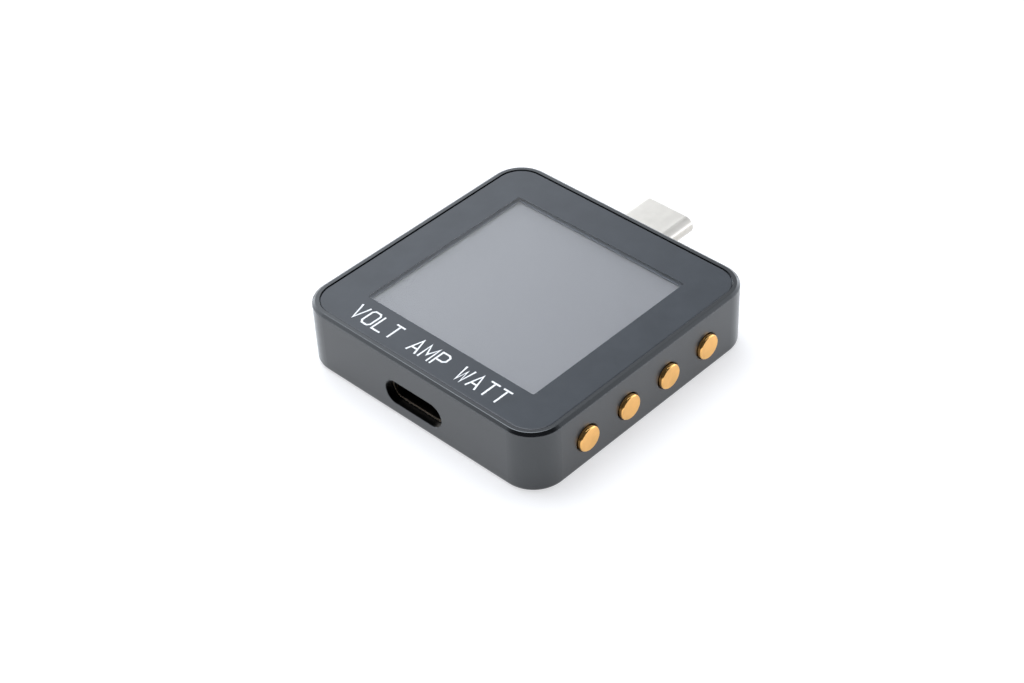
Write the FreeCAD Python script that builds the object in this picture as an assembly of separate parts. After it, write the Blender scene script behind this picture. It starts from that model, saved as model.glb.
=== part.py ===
"""In-line USB-C power meter: a square aluminium case with a colour display under a cover glass,
a USB-C socket in one end, a USB-C plug on the other, and four push buttons along one side.

The frame: Z up, Y from the socket end to the plug end, buttons on the +X side.
The origin is the centre of the case's underside. All lengths are millimetres.
"""

import FreeCAD, Part
import math
import os

Vector = FreeCAD.Vector
X_AXIS, Y_AXIS, Z_AXIS = Vector(1, 0, 0), Vector(0, 1, 0), Vector(0, 0, 1)

# ---------------------------------------------------------------- driving dimensions
# gaps and reaches used throughout
hairline = 0.01  # between parts that touch in the real object
fit_gap = 0.05  # between parts that drop into each other
overlap = 0.1  # how far two shapes run into each other before they are fused
overcut = 1.0  # how far a cutting tool reaches past what it cuts

# case
case_width = 38.5
case_length = 38.5
case_height = 8.7
case_corner_radius = 4.3
wall = 1.2
rim_slope_run = 0.4
rim_slope_rise = 0.3
rim_slope_rounding = 0.15
bottom_edge_radius = 0.6
cutout_chamfer = 0.06

# cover glass and what bonds it
glass_inset = 0.95
glass_gap = 0.07
glass_recess = 0.1
glass_thickness = 0.7
glass_bevel_run = 0.14
glass_bevel_drop = 0.07
print_thickness = 0.04
tape_thickness = 0.15
tape_margin = 0.12
ledge_width = 1.25
ledge_thickness = 0.8

# display
window_width = 26.2
window_length = 25.55
cell_border = 1.1
cell_driver_ledge = 2.9
cell_thickness = 0.75
polariser_thickness = 0.2
guide_thickness = 0.55
reflector_thickness = 0.15
led_length = 1.1
led_width = 2.6
led_count = 4
frame_wall = 0.6
frame_floor = 0.25
frame_corner_radius = 1.0
driver_width = 0.8
driver_length = 10.0
driver_thickness = 0.3
foam_thickness = 0.35
foam_size = 22.0
sheet_corner_radius = 1.0

# circuit board
board_thickness = 1.0
board_edge_gap = 0.3
board_corner_radius = 1.2
board_rest_x = 10.0
board_rest_width = 3.4
board_rest_depth = 2.9
board_hole_gap = 0.15

# screws
screw_radius = 0.7
screw_gap = 0.02
countersunk_head_radius = 1.25
countersunk_head_height = 0.6
cover_screw_inset = 3.25
cover_screw_length = 3.2
pan_head_radius = 1.2
pan_head_height = 0.7
pan_head_rounding = 0.25
screw_tip_gap = 0.25
board_screw_grip = 1.1
driver_recess_radius = 0.42
driver_recess_depth = 0.35
pillar_radius = 1.9

# bottom cover
cover_thickness = 0.9
cover_seat_inset = 0.85
cover_gap = 0.06
cover_edge_chamfer = 0.12
insulation_thickness = 0.1
insulation_margin = 0.3

# buttons and their switches
button_count = 4
button_pitch = 7.0
button_row_y = -0.2
button_drop = 0.43
button_radius = 1.62
button_gap = 0.15
button_proud = 0.5
button_chamfer = 0.12
button_travel = 0.25
flange_radius = 2.1
flange_thickness = 0.5
flange_gap = 0.05
flange_room = 0.25
switch_height = 1.7
switch_width = 3.5
switch_depth = 2.4
switch_wall = 0.35
switch_reach = 0.8
switch_cover_thickness = 0.12
switch_cover_inset = 0.6
plunger_width = 1.7
plunger_height = 0.8
plunger_head_width = 2.3
plunger_head_depth = 0.35
plunger_gap = 0.06
dome_thickness = 0.08
dome_rise = 0.4
dome_gap = 0.02

# USB-C socket
socket_width = 8.94
socket_height = 3.16
socket_wall = 0.3
socket_length = 7.3
socket_setback = 1.05
socket_drop = 0.97
socket_cutout_gap = 0.1
socket_tongue_width = 6.69
socket_tongue_thickness = 0.7
socket_tongue_setback = 0.95
socket_base_length = 1.4
socket_tab_length = 1.5
socket_tab_reach = 1.4
socket_tab_thickness = 0.3
socket_tab_root = 0.36
socket_tab_inset = 0.9

# USB-C plug
plug_width = 8.25
plug_height = 2.4
plug_wall = 0.25
plug_proud = 7.0
plug_tail = 2.6
plug_tip_radius = 0.12
plug_slot_gap = 0.15
plug_mouth_width = 6.9
plug_mouth_height = 1.25
plug_mouth_depth = 5.6
plug_insulator_setback = 0.35
plug_tab_reach = 1.4
plug_tab_length = 2.0
plug_tab_thickness = 0.2
plug_tab_root = 0.35
latch_thickness = 0.25
latch_height = 0.7
latch_tip_setback = 0.8
latch_back_gap = 0.5

# contacts shared by socket and plug
contact_count = 12
contact_pitch = 0.5
contact_width = 0.26
contact_thickness = 0.12
contact_proud = 0.04
contact_tail = 0.9
contact_tip_setback = 0.5
contact_step_back = 0.2
contact_board_gap = 0.03

# display flex and its connector
flex_width = 11.0
flex_thickness = 0.15
flex_bend_radius = 0.45
flex_gap = 0.3
flex_lower_run = 1.4
connector_width = 13.0
connector_length = 3.2
connector_height = 1.0
connector_grip = 1.6

# chips and small components under the board: places are (x, y), sizes are (x, y, height)
controller_place, controller_size = (-5.2, 5.6), (7.0, 7.0, 1.2)
meter_place, meter_size = (3.6, -1.4), (3.0, 3.0, 0.9)
protocol_place, protocol_size = (-5.6, -6.2), (4.0, 4.9, 1.3)
memory_place, memory_size = (4.8, 6.0), (3.9, 4.9, 1.4)
regulator_place, regulator_size = (-9.8, -2.4), (1.6, 2.9, 1.1)
short_lead, long_lead = 0.6, 0.8
chip_lift = 0.1
chip_chamfer = 0.12
lead_span_share = 0.8
lead_width_share = 0.6
shunt_place = (7.0, -7.4)
shunt_length = 6.4
shunt_width = 3.2
shunt_height = 0.7
shunt_end = 1.2
shunt_step = 0.12
crystal_place = (-8.55, 13.0)
crystal_width = 2.5
crystal_length = 3.2
crystal_height = 0.8
inductor_place = (-10.6, -12.4)
inductor_size = 4.0
inductor_height = 2.0
inductor_corner_radius = 0.5
small_edge = 0.25
capacitor_size = (1.6, 0.8, 0.8)
capacitor_row_plug, capacitor_steps_plug = 13.2, (-3.6, -1.2, 1.2, 3.6)
capacitor_row_socket, capacitor_steps_socket = -7.2, (-1.6, 0.8, 3.2)
capacitor_row_coil, capacitor_steps_coil = -7.6, (-9.4, -12.2)
resistor_size = (1.0, 0.5, 0.35)
resistor_row, resistor_steps = 0.4, (-8.2, -6.4, -4.6, -2.8, -1.0)
resistor_from_switch = 1.6

# ---------------------------------------------------------------- levels and places
half_width = case_width / 2
half_length = case_length / 2
inner_x = half_width - wall
inner_y = half_length - wall

glass_top = case_height - glass_recess
glass_bottom = glass_top - glass_thickness
print_bottom = glass_bottom - hairline - print_thickness
ledge_top = print_bottom - tape_thickness
ledge_bottom = ledge_top - ledge_thickness
ledge_inset = glass_inset + ledge_width

display_top = ledge_top
cell_top = display_top - polariser_thickness
cell_bottom = cell_top - cell_thickness
guide_bottom = cell_bottom - guide_thickness
reflector_bottom = guide_bottom - reflector_thickness
display_bottom = reflector_bottom - frame_floor
cell_left = -window_width / 2 - cell_driver_ledge
cell_right = window_width / 2 + cell_border
cell_half_length = window_length / 2 + cell_border
guide_left = -window_width / 2 - frame_wall
guide_right = cell_right - led_length
frame_left = cell_left - frame_wall - fit_gap
frame_right = cell_right + frame_wall + fit_gap
frame_half_length = cell_half_length + frame_wall + fit_gap

board_top = display_bottom - foam_thickness
board_bottom = board_top - board_thickness
board_left = -(inner_x - board_edge_gap)
board_right = inner_x - flange_gap - flange_thickness - button_travel - board_edge_gap / 2
board_half_length = inner_y - board_edge_gap
rest_y = inner_y - board_rest_depth / 2

cover_screw_x = half_width - cover_screw_inset
cover_screw_y = half_length - cover_screw_inset

button_z = board_bottom - button_drop
flange_face = inner_x - flange_gap
flange_back = flange_face - flange_thickness
switch_front = flange_back - switch_reach
switch_back = switch_front - switch_depth
plunger_z = board_bottom - switch_height / 2
switch_cavity_front = switch_front - switch_wall
plunger_head_back = switch_cavity_front - plunger_gap - plunger_head_depth
switch_cavity_back = plunger_head_back - dome_gap - dome_thickness - dome_rise
switch_cavity_half_height = plunger_height / 2 + plunger_gap
button_places = [button_row_y + (n - (button_count - 1) / 2) * button_pitch for n in range(button_count)]

socket_z = board_bottom - socket_drop
socket_front = -half_length + socket_setback
socket_back = socket_front + socket_length
socket_base_front = socket_back - socket_base_length
socket_notch_half_width = socket_width / 2 + board_edge_gap / 2

plug_z = (board_top + board_bottom) / 2
plug_tip = half_length + plug_proud
plug_back = half_length - plug_tail
contact_bend = plug_back - contact_step_back
plug_notch_start = contact_bend - contact_thickness - contact_board_gap
plug_notch_half_width = plug_width / 2 + board_edge_gap
contact_places = [(n - (contact_count - 1) / 2) * contact_pitch for n in range(contact_count)]

flex_level = cell_bottom - flex_thickness / 2
flex_column_x = frame_left - flex_gap - flex_thickness / 2
connector_left = flex_column_x + flex_bend_radius + flex_lower_run
connector_level = board_bottom - connector_height / 2
flex_notch_x = flex_column_x + flex_thickness / 2 + flex_gap
flex_notch_half_width = flex_width / 2 + flex_gap


# ---------------------------------------------------------------- shapes used more than once
def box(x_low, x_high, y_low, y_high, z_low, z_high):
    """A block between two opposite corners."""
    corner = Vector(x_low, y_low, z_low)
    return Part.makeBox(x_high - x_low, y_high - y_low, z_high - z_low, corner)


def rounded_outline(x_low, x_high, y_low, y_high, radius, z):
    """A closed wire: a rectangle whose corners are arcs."""
    corners = [
        (x_high - radius, y_high - radius, 0),
        (x_low + radius, y_high - radius, 90),
        (x_low + radius, y_low + radius, 180),
        (x_high - radius, y_low + radius, 270),
    ]
    arcs = []
    for x, y, start in corners:
        places = [math.radians(start + turn) for turn in (0, 45, 90)]
        arcs.append([Vector(x + radius * math.cos(a), y + radius * math.sin(a), z) for a in places])
    edges = []
    for n, arc in enumerate(arcs):
        edges.append(Part.Arc(*arc).toShape())
        following = arcs[(n + 1) % len(arcs)]
        edges.append(Part.LineSegment(arc[2], following[0]).toShape())
    return Part.Wire(edges)


def slab(x_low, x_high, y_low, y_high, radius, z_low, z_high):
    """A flat plate with rounded corners."""
    face = Part.Face(rounded_outline(x_low, x_high, y_low, y_high, radius, z_low))
    return face.extrude(Z_AXIS * (z_high - z_low))


def case_outline(inset, z):
    """The case's outline as a closed wire, taken in by inset."""
    x, y = half_width - inset, half_length - inset
    return rounded_outline(-x, x, -y, y, case_corner_radius - inset, z)


def case_slab(inset, z_low, z_high):
    """A plate whose outline is the case's, taken in by inset."""
    return Part.Face(case_outline(inset, z_low)).extrude(Z_AXIS * (z_high - z_low))


def capsule(width, height, y_low, y_high, z):
    """A bar along Y whose section is a rectangle with half-round ends, as USB-C shells are."""
    radius = height / 2
    flat = width / 2 - radius
    ends = [(flat, -radius), (flat + radius, 0), (flat, radius)]
    right = [Vector(x, y_low, z + rise) for x, rise in ends]
    left = [Vector(-x, y_low, z - rise) for x, rise in ends]
    edges = [
        Part.Arc(*right).toShape(),
        Part.LineSegment(right[2], left[0]).toShape(),
        Part.Arc(*left).toShape(),
        Part.LineSegment(left[2], right[0]).toShape(),
    ]
    return Part.Face(Part.Wire(edges)).extrude(Y_AXIS * (y_high - y_low))


def rod_z(x, y, radius, z_low, z_high):
    """A round bar along Z."""
    return Part.makeCylinder(radius, z_high - z_low, Vector(x, y, z_low), Z_AXIS)


def rod_x(y, z, radius, x_low, x_high):
    """A round bar along X."""
    return Part.makeCylinder(radius, x_high - x_low, Vector(x_low, y, z), X_AXIS)


def edges_at(shape, axis, level, reach=None):
    """The edges of shape that lie wholly at one level of an axis ("x", "y" or "z")."""
    found = []
    for edge in shape.Edges:
        bounds = edge.BoundBox
        low, high = getattr(bounds, axis.upper() + "Min"), getattr(bounds, axis.upper() + "Max")
        if abs(low - level) < 1e-4 and abs(high - level) < 1e-4 and (reach is None or reach(bounds)):
            found.append(edge)
    return found


def four_corners(x, y):
    """The four places at plus and minus x and y."""
    return [(sx * x, sy * y) for sx in (-1, 1) for sy in (-1, 1)]


def driver_recess(x, y, z_low):
    """The hexagonal socket that a driver turns a screw by, as a tool to cut with."""
    points = []
    for n in range(7):
        turn = math.radians(60 * n)
        reach_x, reach_y = driver_recess_radius * math.cos(turn), driver_recess_radius * math.sin(turn)
        points.append(Vector(x + reach_x, y + reach_y, z_low))
    return Part.Face(Part.makePolygon(points)).extrude(Z_AXIS * driver_recess_depth)


# ---------------------------------------------------------------- case
def rim_blank():
    """The case's outer form: a rounded block with a sloped, softened top edge and a round bottom edge."""
    shoulder = case_height - rim_slope_rise
    blank = case_slab(0, 0, shoulder)
    cap = Part.makeLoft([case_outline(0, shoulder), case_outline(rim_slope_run, case_height)], True, True)
    blank = blank.fuse(cap).removeSplitter()
    soft = edges_at(blank, "z", shoulder) + edges_at(blank, "z", case_height)
    blank = blank.makeFillet(rim_slope_rounding, soft)
    return blank.makeFillet(bottom_edge_radius, edges_at(blank, "z", 0))


def near_port(bounds):
    """Whether an edge belongs to an end's USB-C opening, not to the wall's own outline."""
    central = max(abs(bounds.XMin), abs(bounds.XMax)) < socket_width
    return central and bottom_edge_radius < bounds.ZMin < bounds.ZMax < case_height - rim_slope_rise


def make_housing():
    """One machined frame: walls, glass ledge above, cover seat below, pillars and board rests inside."""
    frame = rim_blank()
    frame = frame.cut(case_slab(glass_inset - glass_gap, ledge_top, case_height + overcut))
    frame = frame.cut(case_slab(ledge_inset, ledge_bottom, ledge_top + overcut))
    frame = frame.cut(case_slab(cover_seat_inset, -overcut, cover_thickness))
    hollow = case_slab(wall, cover_thickness, ledge_bottom)
    for x, y in four_corners(cover_screw_x, cover_screw_y):
        hollow = hollow.cut(rod_z(x, y, pillar_radius, cover_thickness, board_top))
    for x, y in four_corners(board_rest_x, rest_y):
        half, depth = board_rest_width / 2, board_rest_depth / 2
        hollow = hollow.cut(box(x - half, x + half, y - depth, y + depth, board_top, ledge_bottom))
    frame = frame.cut(hollow)
    for x, y in four_corners(cover_screw_x, cover_screw_y):
        top = cover_thickness + cover_screw_length
        frame = frame.cut(rod_z(x, y, screw_radius + screw_gap, 0, min(top, board_top)))
    for x, y in four_corners(board_rest_x, rest_y):
        top = board_top + board_screw_grip + screw_tip_gap
        frame = frame.cut(rod_z(x, y, screw_radius + screw_gap, board_top - overcut, top))
    for y in button_places:
        room = flange_radius + flange_room
        frame = frame.cut(rod_x(y, button_z, room, flange_back - button_travel - flange_room, inner_x))
        side = switch_width / 2 + switch_cover_thickness + flange_room
        back = switch_back - flange_room
        low = board_bottom - switch_height - switch_cover_thickness - flange_room
        frame = frame.cut(box(back, flange_back, y - side, y + side, low, board_bottom))
        hole = button_radius + button_gap
        frame = frame.cut(rod_x(y, button_z, hole, inner_x - overcut, half_width + overcut))
        rim_start = Vector(half_width - cutout_chamfer, y, button_z)
        frame = frame.cut(Part.makeCone(hole, hole + cutout_chamfer, cutout_chamfer, rim_start, X_AXIS))
    gap, outside = 2 * socket_cutout_gap, -half_length - overcut
    inside = -inner_y + overcut
    frame = frame.cut(capsule(socket_width + gap, socket_height + gap, outside, inside, socket_z))
    gap, outside = 2 * plug_slot_gap, half_length + overcut
    frame = frame.cut(capsule(plug_width + gap, plug_height + gap, inner_y - overcut, outside, plug_z))
    mouths = edges_at(frame, "y", -half_length, near_port) + edges_at(frame, "y", half_length, near_port)
    return frame.makeChamfer(cutout_chamfer, mouths)


def make_bottom_cover():
    """The flat plate that closes the underside, countersunk for its four screws."""
    inset = cover_seat_inset + cover_gap
    plate = case_slab(inset, 0, cover_thickness)
    plate = plate.makeChamfer(cover_edge_chamfer, edges_at(plate, "z", 0))
    narrow, wide = screw_radius + 2 * screw_gap, countersunk_head_radius + screw_gap
    for x, y in four_corners(cover_screw_x, cover_screw_y):
        plate = plate.cut(rod_z(x, y, narrow, -overcut, cover_thickness + overcut))
        plate = plate.cut(Part.makeCone(wide, narrow, countersunk_head_height, Vector(x, y, 0), Z_AXIS))
    return plate


def make_cover_screws():
    """Four countersunk screws, heads down and flush with the cover."""
    screws = []
    for x, y in four_corners(cover_screw_x, cover_screw_y):
        foot = Vector(x, y, 0)
        head = Part.makeCone(countersunk_head_radius, screw_radius, countersunk_head_height, foot, Z_AXIS)
        top = min(cover_thickness + cover_screw_length, board_top) - screw_tip_gap
        shank = rod_z(x, y, screw_radius, countersunk_head_height, top)
        screws.append(head.fuse(shank).removeSplitter().cut(driver_recess(x, y, 0)))
    return Part.makeCompound(screws)


def make_insulation_sheet():
    """A thin plastic sheet that keeps the board's joints off the metal cover."""
    x = cover_screw_x - pillar_radius - insulation_margin
    y = inner_y - insulation_margin
    top = cover_thickness + insulation_thickness
    return slab(-x, x, -y, y, sheet_corner_radius, cover_thickness, top)


# ---------------------------------------------------------------- glass
def make_cover_glass():
    """The clear front glass with a bevelled upper edge."""
    shoulder = glass_top - glass_bevel_drop
    lower = case_slab(glass_inset, glass_bottom, shoulder)
    outlines = [case_outline(glass_inset, shoulder), case_outline(glass_inset + glass_bevel_run, glass_top)]
    return lower.fuse(Part.makeLoft(outlines, True, True)).removeSplitter()


def window(z_low, z_high, grow=0.0):
    """The clear rectangle that the display is seen through, as a tool to cut with."""
    x, y = window_width / 2 + grow, window_length / 2 + grow
    return box(-x, x, -y, y, z_low, z_high)


def make_glass_print():
    """The black ink border under the glass."""
    border = case_slab(glass_inset, print_bottom, glass_bottom - hairline)
    return border.cut(window(print_bottom - overcut, glass_bottom + overcut))


def make_glass_tape():
    """The adhesive ring that bonds the glass to the ledge."""
    ring = case_slab(glass_inset + tape_margin, ledge_top, print_bottom)
    return ring.cut(case_slab(ledge_inset - tape_margin, ledge_top - overcut, print_bottom + overcut))


# ---------------------------------------------------------------- display
def make_display_tape():
    """The adhesive ring that bonds the display's frame to the glass border."""
    y = frame_half_length
    ring = slab(frame_left, frame_right, -y, y, frame_corner_radius, display_top, print_bottom)
    return ring.cut(window(display_top - overcut, print_bottom + overcut, grow=tape_margin))


def make_display_polariser():
    """The grey film on the front of the display cell."""
    left = -window_width / 2 - cell_border
    return box(left, cell_right, -cell_half_length, cell_half_length, cell_top, display_top)


def make_lcd_cell():
    """The two bonded glass sheets of the display; the rear one carries the driver at its long end."""
    middle = (cell_top + cell_bottom) / 2
    front_left = -window_width / 2 - cell_border
    rear = box(cell_left, cell_right, -cell_half_length, cell_half_length, cell_bottom, middle)
    front = box(front_left, cell_right, -cell_half_length, cell_half_length, middle, cell_top)
    return rear.fuse(front).removeSplitter()


def make_display_driver():
    """The bare driver chip bonded on the rear glass's ledge."""
    middle = (cell_top + cell_bottom) / 2
    x = (cell_left - window_width / 2 - cell_border) / 2
    wide, along = driver_width / 2, driver_length / 2
    return box(x - wide, x + wide, -along, along, middle, middle + driver_thickness)


def make_backlight_guide():
    """The clear acrylic plate that spreads the light."""
    y = cell_half_length
    return box(guide_left, guide_right, -y, y, guide_bottom, cell_bottom)


def make_backlight_reflector():
    """The white film behind the light guide."""
    y = cell_half_length
    return box(guide_left, cell_right, -y, y, reflector_bottom, guide_bottom)


def make_backlight_leds():
    """The row of light-emitting diodes at the guide's edge."""
    step = 2 * cell_half_length / led_count
    half = led_width / 2
    middles = [-cell_half_length + (n + 0.5) * step for n in range(led_count)]
    leds = [box(guide_right, cell_right, y - half, y + half, guide_bottom, cell_bottom) for y in middles]
    return Part.makeCompound(leds)


def make_display_frame():
    """The moulded tray that holds cell, light guide and films; its driver end is slotted for the flex."""
    y = frame_half_length
    tray = slab(frame_left, frame_right, -y, y, frame_corner_radius, display_bottom, display_top)
    y, right = cell_half_length + fit_gap, cell_right + fit_gap
    tray = tray.cut(box(cell_left - fit_gap, right, -y, y, cell_bottom, display_top + overcut))
    tray = tray.cut(box(guide_left - fit_gap, right, -y, y, reflector_bottom, cell_bottom))
    slot = flex_width / 2 + fit_gap
    below = cell_bottom - flex_thickness - fit_gap
    return tray.cut(box(frame_left - overcut, guide_left, -slot, slot, below, cell_bottom))


def bent_strip(points, radius, thickness, width):
    """A flat strip that follows a path in XZ with round bends; points are the path's corners."""
    wire = []
    start = points[0]
    for n in range(1, len(points) - 1):
        before = (points[n] - points[n - 1]).normalize()
        after = (points[n + 1] - points[n]).normalize()
        enter, leave = points[n] - before * radius, points[n] + after * radius
        centre = enter + after * radius
        middle = centre + (points[n] - centre).normalize() * radius
        wire.append(Part.LineSegment(start, enter).toShape())
        wire.append(Part.Arc(enter, middle, leave).toShape())
        start = leave
    wire.append(Part.LineSegment(start, points[-1]).toShape())
    path = Part.Wire(wire)
    first = (points[1] - points[0]).normalize()
    across = Y_AXIS * (width / 2)
    lift = first.cross(Y_AXIS) * (thickness / 2)
    corners = [points[0] + shift for shift in (across + lift, lift - across, -across - lift, across - lift)]
    section = Part.makePolygon(corners + [corners[0]])
    return path.makePipeShell([section], True, True)


def make_display_flex():
    """The flexible printed tail from the display's rear glass, round the board's edge, to its connector."""
    points = [
        Vector(guide_left - fit_gap, 0, flex_level),
        Vector(flex_column_x, 0, flex_level),
        Vector(flex_column_x, 0, connector_level),
        Vector(connector_left + connector_grip, 0, connector_level),
    ]
    return bent_strip(points, flex_bend_radius, flex_thickness, flex_width)


def make_display_foam():
    """The foam pad that presses the display up against the glass from the board."""
    half = foam_size / 2
    return slab(-half, half, -half, half, sheet_corner_radius, board_top, display_bottom)


# ---------------------------------------------------------------- board
def make_main_board():
    """The circuit board, notched for the pillars, both USB-C connectors and the display flex."""
    y = board_half_length
    board = slab(board_left, board_right, -y, y, board_corner_radius, board_bottom, board_top)
    low, high = board_bottom - overcut, board_top + overcut
    for px, py in four_corners(cover_screw_x, cover_screw_y):
        board = board.cut(rod_z(px, py, pillar_radius + board_hole_gap, low, high))
        beyond = max(half_width, half_length)
        x_near, x_far = sorted((px, math.copysign(beyond, px)))
        y_near, y_far = sorted((py, math.copysign(beyond, py)))
        board = board.cut(box(x_near, x_far, y_near, y_far, low, high))
    for x, py in four_corners(board_rest_x, rest_y):
        board = board.cut(rod_z(x, py, screw_radius + board_hole_gap, low, high))
    notch = socket_notch_half_width
    board = board.cut(box(-notch, notch, -half_length, socket_back + overlap, low, high))
    notch = plug_notch_half_width
    board = board.cut(box(-notch, notch, plug_notch_start, half_length, low, high))
    notch = flex_notch_half_width
    return board.cut(box(-half_width, flex_notch_x, -notch, notch, low, high))


def make_board_screws():
    """Four pan-head screws that hold the board up against its rests."""
    screws = []
    for x, y in four_corners(board_rest_x, rest_y):
        head = rod_z(x, y, pan_head_radius, board_bottom - pan_head_height, board_bottom)
        head = head.makeFillet(pan_head_rounding, edges_at(head, "z", board_bottom - pan_head_height))
        shank = rod_z(x, y, screw_radius, board_bottom, board_top + board_screw_grip)
        screws.append(head.fuse(shank).cut(driver_recess(x, y, board_bottom - pan_head_height)))
    return Part.makeCompound(screws)


def make_flex_connector():
    """The connector on the board's underside that grips the display flex."""
    half = connector_width / 2
    right = connector_left + connector_length
    block = box(connector_left, right, -half, half, board_bottom - connector_height, board_bottom)
    slot = flex_width / 2 + fit_gap
    gap = flex_thickness / 2 + hairline
    grip = connector_left + connector_grip + hairline
    low, high = connector_level - gap, connector_level + gap
    return block.cut(box(connector_left - overcut, grip, -slot, slot, low, high))


def leaded_chip(place, size, leads, reach, both_ways=False):
    """A moulded chip under the board with leads along two sides, or all four."""
    (x, y), (size_x, size_y, height) = place, size
    half_x, half_y, seat = size_x / 2, size_y / 2, board_bottom - chip_lift
    body = box(x - half_x, x + half_x, y - half_y, y + half_y, board_bottom - height, seat)
    pitch = lead_span_share * size_y / leads
    pieces = [body.makeChamfer(chip_chamfer, edges_at(body, "z", board_bottom - height))]
    for n in range(leads):
        along = (n - (leads - 1) / 2) * pitch
        half = lead_width_share * pitch / 2
        for side in (-1, 1):
            near, far = sorted((x + side * half_x, x + side * (half_x + reach)))
            pieces.append(box(near, far, y + along - half, y + along + half, seat, board_bottom))
            if both_ways:
                near, far = sorted((y + side * half_y, y + side * (half_y + reach)))
                pieces.append(box(x + along - half, x + along + half, near, far, seat, board_bottom))
    return Part.makeCompound(pieces)


def make_controller_chip():
    """The microcontroller, with leads on four sides."""
    return leaded_chip(controller_place, controller_size, 12, long_lead, both_ways=True)


def make_meter_chip():
    """The current and voltage measuring chip beside the shunt."""
    return leaded_chip(meter_place, meter_size, 5, short_lead)


def make_protocol_chip():
    """The charging-protocol chip near the socket."""
    return leaded_chip(protocol_place, protocol_size, 4, long_lead)


def make_memory_chip():
    """The memory chip that stores readings."""
    return leaded_chip(memory_place, memory_size, 4, long_lead)


def make_shunt_resistor():
    """The metal-strip resistor that all the current passes through, with its two end caps."""
    x, y = shunt_place
    low, x_near, x_far = board_bottom - shunt_height, x - shunt_width / 2, x + shunt_width / 2
    span, bend = shunt_length / 2, shunt_length / 2 - shunt_end
    strip = box(x_near, x_far, y - bend, y + bend, low + shunt_step, board_bottom - shunt_step)
    near_end = box(x_near, x_far, y - span, y - bend, low, board_bottom)
    far_end = box(x_near, x_far, y + bend, y + span, low, board_bottom)
    return Part.makeCompound([strip, near_end, far_end])


def make_crystal():
    """The metal-canned timing crystal."""
    x, y = crystal_place
    wide, along, low = crystal_width / 2, crystal_length / 2, board_bottom - crystal_height
    can = box(x - wide, x + wide, y - along, y + along, low, board_bottom)
    return can.makeFillet(small_edge, edges_at(can, "z", low))


def make_inductor():
    """The shielded coil of the voltage converter."""
    x, y = inductor_place
    half, low = inductor_size / 2, board_bottom - inductor_height
    block = slab(x - half, x + half, y - half, y + half, inductor_corner_radius, low, board_bottom)
    return block.makeChamfer(small_edge, edges_at(block, "z", low))


def make_regulator():
    """The voltage converter's chip."""
    return leaded_chip(regulator_place, regulator_size, 3, short_lead)


def chip_row(places, size):
    """Small two-ended chips under the board, one at each place."""
    along, across, low = size[0] / 2, size[1] / 2, board_bottom - size[2]
    return Part.makeCompound(
        [box(x - along, x + along, y - across, y + across, low, board_bottom) for x, y in places]
    )


def make_capacitors():
    """Ceramic capacitors: a row behind the plug, a row behind the socket and two by the coil."""
    behind_plug = [(x, capacitor_row_plug) for x in capacitor_steps_plug]
    behind_socket = [(x, capacitor_row_socket) for x in capacitor_steps_socket]
    by_coil = [(x, capacitor_row_coil) for x in capacitor_steps_coil]
    return chip_row(behind_plug + behind_socket + by_coil, capacitor_size)


def make_resistors():
    """Small resistors: one by each switch, and a row between the chips."""
    by_switches = [(switch_back - resistor_from_switch, y) for y in button_places]
    between = [(x, resistor_row) for x in resistor_steps]
    return chip_row(by_switches + between, resistor_size)


# ---------------------------------------------------------------- buttons
def make_button_cap(y):
    """A turned cap: a chamfered face outside the wall and a flange inside that keeps it in."""
    face = half_width + button_proud
    profile = [
        (flange_back, 0),
        (flange_back, flange_radius),
        (flange_face, flange_radius),
        (flange_face, button_radius),
        (face - button_chamfer, button_radius),
        (face, button_radius - button_chamfer),
        (face, 0),
        (flange_back, 0),
    ]
    points = [Vector(x, y + r, button_z) for x, r in profile]
    turned = Part.Face(Part.makePolygon(points))
    return turned.revolve(Vector(0, y, button_z), X_AXIS, 360)


def make_switch_plunger(y):
    """The switch's sliding plunger: a stem out to the cap's flange and a wider head inside."""
    half, tall = plunger_width / 2, plunger_height / 2
    head_front = plunger_head_back + plunger_head_depth
    wide = plunger_head_width / 2
    stem = box(plunger_head_back, flange_back, y - half, y + half, plunger_z - tall, plunger_z + tall)
    head = box(plunger_head_back, head_front, y - wide, y + wide, plunger_z - tall, plunger_z + tall)
    return stem.fuse(head).removeSplitter()


def make_switch_bodies():
    """The moulded bodies of the four side-push switches, hollow for plunger and dome."""
    bodies = []
    half, tall = switch_width / 2, switch_cavity_half_height
    wide, stem = plunger_head_width / 2 + plunger_gap, plunger_width / 2 + plunger_gap
    low, high, floor = plunger_z - tall, plunger_z + tall, board_bottom - switch_height
    for y in button_places:
        body = box(switch_back, switch_front, y - half, y + half, floor, board_bottom)
        body = body.cut(box(switch_cavity_back, switch_cavity_front, y - wide, y + wide, low, high))
        mouth_back, mouth_front = switch_cavity_front - overlap, switch_front + overcut
        body = body.cut(box(mouth_back, mouth_front, y - stem, y + stem, low, high))
        bodies.append(body)
    return Part.makeCompound(bodies)


def make_switch_covers():
    """The steel plates clipped under the switches, each with a lip down one side."""
    covers = []
    half, inset = switch_width / 2, switch_cover_inset
    top = board_bottom - switch_height
    bottom = top - switch_cover_thickness
    for y in button_places:
        plate = box(switch_back, switch_front, y - half, y + half, bottom, top)
        for side in (-1, 1):
            y_near, y_far = sorted((y + side * half, y + side * (half + switch_cover_thickness)))
            lip = box(switch_back + inset, switch_front - inset, y_near, y_far, bottom, top + inset)
            plate = plate.fuse(lip)
        covers.append(plate)
    return Part.makeCompound(covers)


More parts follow.
